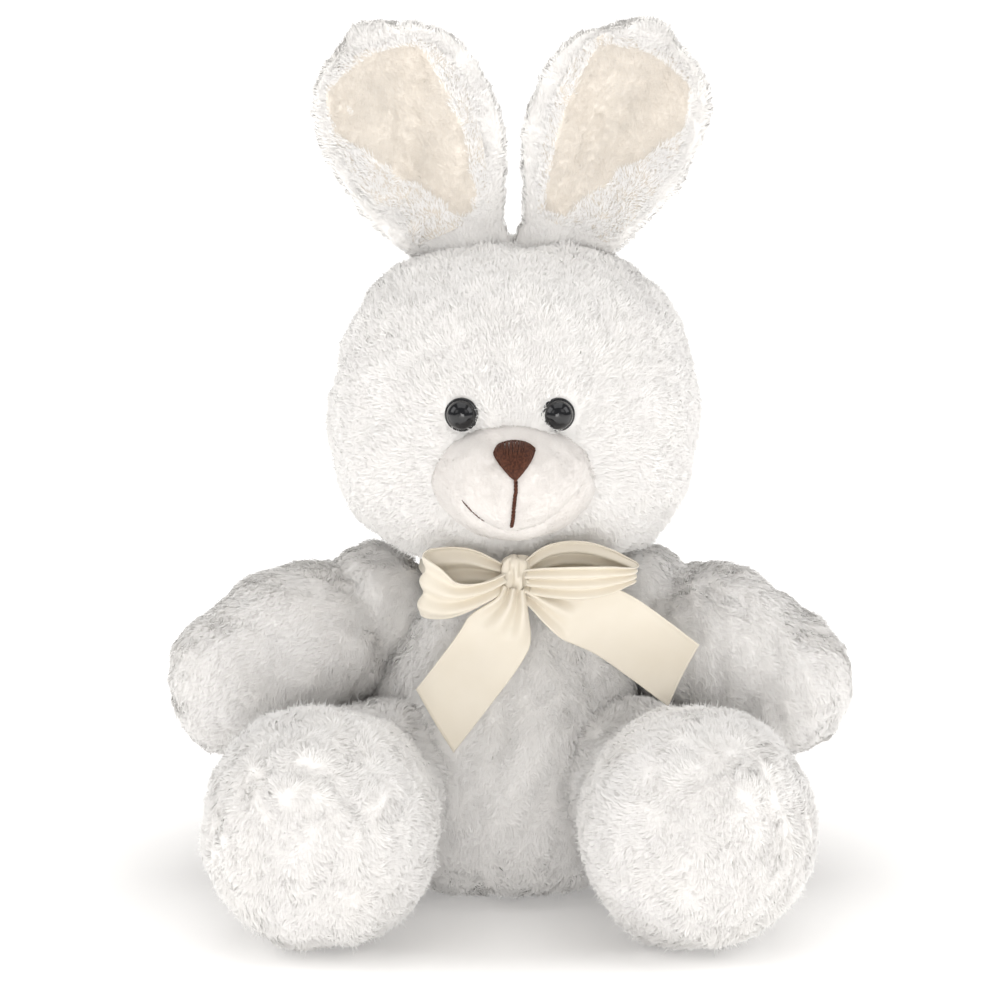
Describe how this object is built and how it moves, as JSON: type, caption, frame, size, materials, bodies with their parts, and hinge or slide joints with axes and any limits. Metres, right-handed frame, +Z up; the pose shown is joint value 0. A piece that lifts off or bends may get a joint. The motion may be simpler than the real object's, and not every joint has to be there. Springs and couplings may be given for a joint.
{
  "type": "stuffed bunny rabbit",
  "caption": "Sitting white plush rabbit with upright lined ears, stitched face, round feet and a cream satin neck bow; the sewn-on head, ears, arms and legs can move.",
  "frame": {"origin": "centre of the flat seat patch under the body, on the surface the toy sits on", "axes": "+Z up, the face and feet towards -Y, +X to the bunny's own left"},
  "size_m": [0.1998, 0.1824, 0.2584],
  "materials": {
    "white_fur": "white long-pile plush",
    "cream_velour": "cream short-pile velour",
    "white_velour": "white short-pile velour",
    "polyester_filling": "loose polyester fibre",
    "black_plastic": "polished black",
    "natural_plastic": "natural, unpainted",
    "brown_thread": "dark brown embroidery thread",
    "white_thread": "white sewing thread",
    "cream_satin": "cream satin ribbon"
  },
  "bodies": {
    "torso": {"body_skin": "white_fur", "body_stuffing": "polyester_filling", "tail_skin": "white_fur", "tail_stuffing": "polyester_filling", "ribbon_neck_band": "cream_satin", "ribbon_knot": "cream_satin", "ribbon_loop_left": "cream_satin", "ribbon_loop_right": "cream_satin", "ribbon_tail_left": "cream_satin", "ribbon_tail_right": "cream_satin"},
    "neck": {"neck_seam": "white_thread"},
    "head": {"head_skin": "white_fur", "head_stuffing": "polyester_filling", "muzzle_skin": "white_velour", "muzzle_stuffing": "polyester_filling", "nose_embroidery": "brown_thread", "mouth_stitch": "brown_thread", "smile_stitch": "brown_thread", "eye_left": "black_plastic", "eye_right": "black_plastic", "eye_washer_left": "natural_plastic", "eye_washer_right": "natural_plastic"},
    "ear_left": {"ear_back_left": "white_fur", "ear_lining_left": "cream_velour"},
    "ear_right": {"ear_back_right": "white_fur", "ear_lining_right": "cream_velour"},
    "arm_left": {"arm_skin_left": "white_fur", "arm_stuffing_left": "polyester_filling"},
    "arm_right": {"arm_skin_right": "white_fur", "arm_stuffing_right": "polyester_filling"},
    "leg_left": {"leg_skin_left": "white_fur", "leg_stuffing_left": "polyester_filling", "foot_sole_left": "white_fur"},
    "leg_right": {"leg_skin_right": "white_fur", "leg_stuffing_right": "polyester_filling", "foot_sole_right": "white_fur"}
  },
  "joints": [
    {"name": "head_turn", "type": "hinge", "parent": "torso", "child": "neck", "pos_m": [0, 0, 0.088], "axis": [0, 0, 1], "range_deg": [-35, 35], "stiffness_Nm_per_rad": 0.3},
    {"name": "head_nod", "type": "hinge", "parent": "neck", "child": "head", "pos_m": [0, 0, 0.088], "axis": [1, 0, 0], "range_deg": [-10, 5], "stiffness_Nm_per_rad": 0.5},
    {"name": "ear_fold_left", "type": "hinge", "parent": "head", "child": "ear_left", "pos_m": [0.0172, -0.004, 0.1937], "axis": [0.9272, 0, -0.3746], "range_deg": [-50, 40], "stiffness_Nm_per_rad": 0.02},
    {"name": "ear_fold_right", "type": "hinge", "parent": "head", "child": "ear_right", "pos_m": [-0.0148, -0.004, 0.1937], "axis": [0.9135, 0, 0.4067], "range_deg": [-50, 40], "stiffness_Nm_per_rad": 0.02},
    {"name": "arm_raise_left", "type": "hinge", "parent": "torso", "child": "arm_left", "pos_m": [0.039, 0, 0.082], "axis": [0, -1, 0], "range_deg": [0, 45], "stiffness_Nm_per_rad": 0.08},
    {"name": "arm_raise_right", "type": "hinge", "parent": "torso", "child": "arm_right", "pos_m": [-0.039, 0, 0.082], "axis": [0, 1, 0], "range_deg": [0, 45], "stiffness_Nm_per_rad": 0.08},
    {"name": "leg_lift_left", "type": "hinge", "parent": "torso", "child": "leg_left", "pos_m": [0.038, -0.031, 0.0335], "axis": [-1, 0, 0], "range_deg": [-5, 15], "stiffness_Nm_per_rad": 0.3},
    {"name": "leg_lift_right", "type": "hinge", "parent": "torso", "child": "leg_right", "pos_m": [-0.038, -0.031, 0.0335], "axis": [-1, 0, 0], "range_deg": [-5, 15], "stiffness_Nm_per_rad": 0.3}
  ]
}
